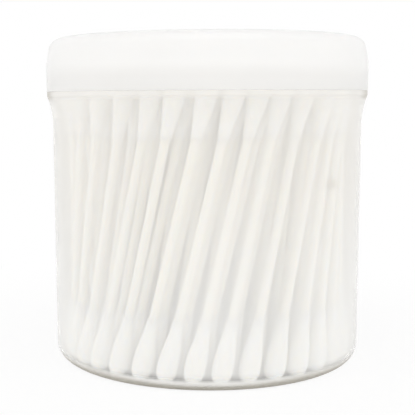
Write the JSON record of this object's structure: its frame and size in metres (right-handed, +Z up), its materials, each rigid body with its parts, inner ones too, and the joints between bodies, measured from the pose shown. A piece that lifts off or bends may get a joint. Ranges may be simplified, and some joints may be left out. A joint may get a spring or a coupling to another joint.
{
  "type": "cotton swab tub",
  "caption": "Round clear plastic tub with a milky push-on lid, filled with upright cotton swabs whose bundle leans in one gentle twist.",
  "frame": {"origin": "on the ground under the middle of the tub, where its foot ring stands", "axes": "+Z up along the tub's axis, -Y towards the viewer of the picture, +X to the viewer's right"},
  "size_m": [0.0856, 0.0856, 0.0855],
  "materials": {
    "tub_clear": "clear, polished",
    "lid_milky": "milky translucent, satin",
    "paper_stem": "smooth rolled paper",
    "cotton": "soft wound cotton"
  },
  "bodies": {
    "tub": {"tub": "tub_clear", "stems_ring_1": "paper_stem", "lower_tips_ring_1": "cotton", "upper_tips_ring_1": "cotton", "stems_ring_2": "paper_stem", "lower_tips_ring_2": "cotton", "upper_tips_ring_2": "cotton", "stems_ring_3": "paper_stem", "lower_tips_ring_3": "cotton", "upper_tips_ring_3": "cotton", "stems_ring_4": "paper_stem", "lower_tips_ring_4": "cotton", "upper_tips_ring_4": "cotton", "stems_ring_5": "paper_stem", "lower_tips_ring_5": "cotton", "upper_tips_ring_5": "cotton", "stems_ring_6": "paper_stem", "lower_tips_ring_6": "cotton", "upper_tips_ring_6": "cotton", "stems_ring_7": "paper_stem", "lower_tips_ring_7": "cotton", "upper_tips_ring_7": "cotton"},
    "lid": {"lid": "lid_milky"}
  },
  "joints": [
    {"name": "lid_lift", "type": "slide", "parent": "tub", "child": "lid", "axis": [0, 0, 1], "range_m": [0, 0.04]}
  ]
}
